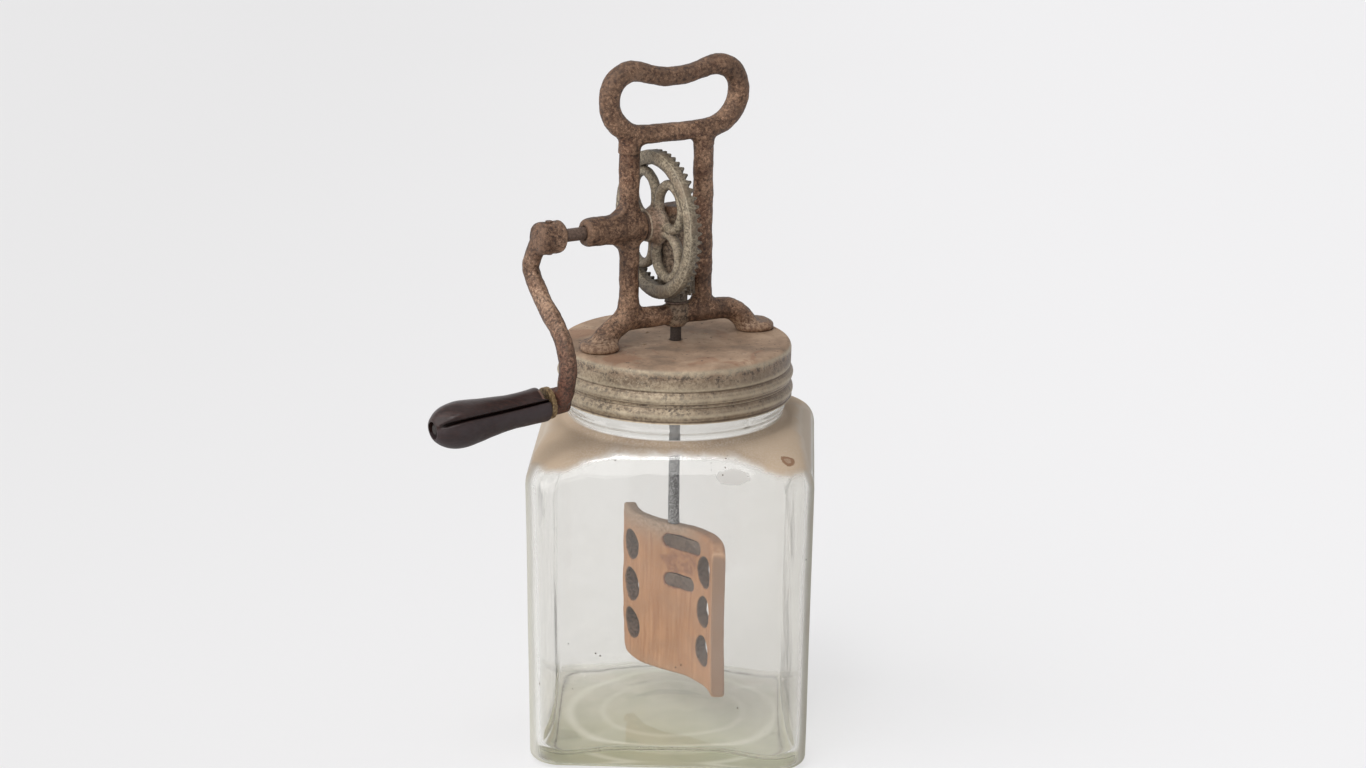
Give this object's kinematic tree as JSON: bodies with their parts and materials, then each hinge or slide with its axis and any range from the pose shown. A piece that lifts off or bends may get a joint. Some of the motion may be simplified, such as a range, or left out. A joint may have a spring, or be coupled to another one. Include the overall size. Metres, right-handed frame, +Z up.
{
  "type": "hand-cranked butter churn",
  "caption": "Square glass churn jar with a screw lid, a cast frame with a carrying loop, and a side crank whose crown gear spins a curled wooden paddle inside the jar.",
  "frame": {"origin": "middle of the jar's underside, where it stands on the table", "axes": "+Z up along the jar's and the dasher's axis; the jar's sides face +X, -X, +Y and -Y; the crank hangs out over the corner between -X and -Y, with its axle turned 33 degrees from X"},
  "size_m": [0.1822, 0.1664, 0.3414],
  "materials": {
    "clear_glass": "clear, faintly green, dusty on the shoulder",
    "seal_rubber": "aged",
    "aged_tin": "tarnished tin plate with rust pits",
    "rusty_cast_iron": "rust brown",
    "dark_steel": "dark and worn",
    "dusty_gear_iron": "dusty grey",
    "dull_brass": "dull",
    "dark_grip_wood": "dark varnish",
    "pale_paddle_wood": "bare and worn"
  },
  "bodies": {
    "jar": {"glass_jar": "clear_glass"},
    "seal": {"lid_seal": "seal_rubber"},
    "lid": {"screw_lid": "aged_tin", "cast_frame": "rusty_cast_iron", "foot_rivet_left": "dark_steel", "foot_rivet_right": "dark_steel", "rivet_burr_left": "dark_steel", "rivet_burr_right": "dark_steel"},
    "crank": {"crank_axle": "dark_steel", "crank_arm": "rusty_cast_iron", "crank_pin": "dark_steel", "drive_gear": "dusty_gear_iron", "gear_pin": "dark_steel", "gear_washer": "dark_steel", "handle_spindle": "dark_steel"},
    "grip": {"wooden_grip": "dark_grip_wood", "grip_ferrule": "dull_brass"},
    "dasher": {"dasher_shaft": "dark_steel", "pinion": "dusty_gear_iron", "pinion_pin": "dark_steel", "thrust_washer": "dark_steel", "paddle": "pale_paddle_wood", "paddle_key_upper": "dark_steel", "paddle_key_lower": "dark_steel"}
  },
  "joints": [
    {"name": "lid_lift", "type": "slide", "parent": "jar", "child": "seal", "axis": [0, 0, 1], "range_m": [0, 0.2]},
    {"name": "lid_turn", "type": "hinge", "parent": "seal", "child": "lid", "pos_m": [0, 0, 0.2], "axis": [0, 0, 1], "range_deg": [0, 540]},
    {"name": "crank_turn", "type": "hinge", "parent": "lid", "child": "crank", "pos_m": [0, 0, 0.2608], "axis": [0.8387, 0.5446, 0], "continuous": true},
    {"name": "dasher_turn", "type": "hinge", "parent": "lid", "child": "dasher", "pos_m": [0, 0, 0.2], "axis": [0, 0, 1], "continuous": true},
    {"name": "grip_spin", "type": "hinge", "parent": "crank", "child": "grip", "pos_m": [-0.05398, -0.05532, 0.18477], "axis": [-0.836, -0.5429, -0.0802], "continuous": true}
  ],
  "couplings": [
    {"joint": "dasher_turn", "follows": "crank_turn", "ratio": -4}
  ]
}
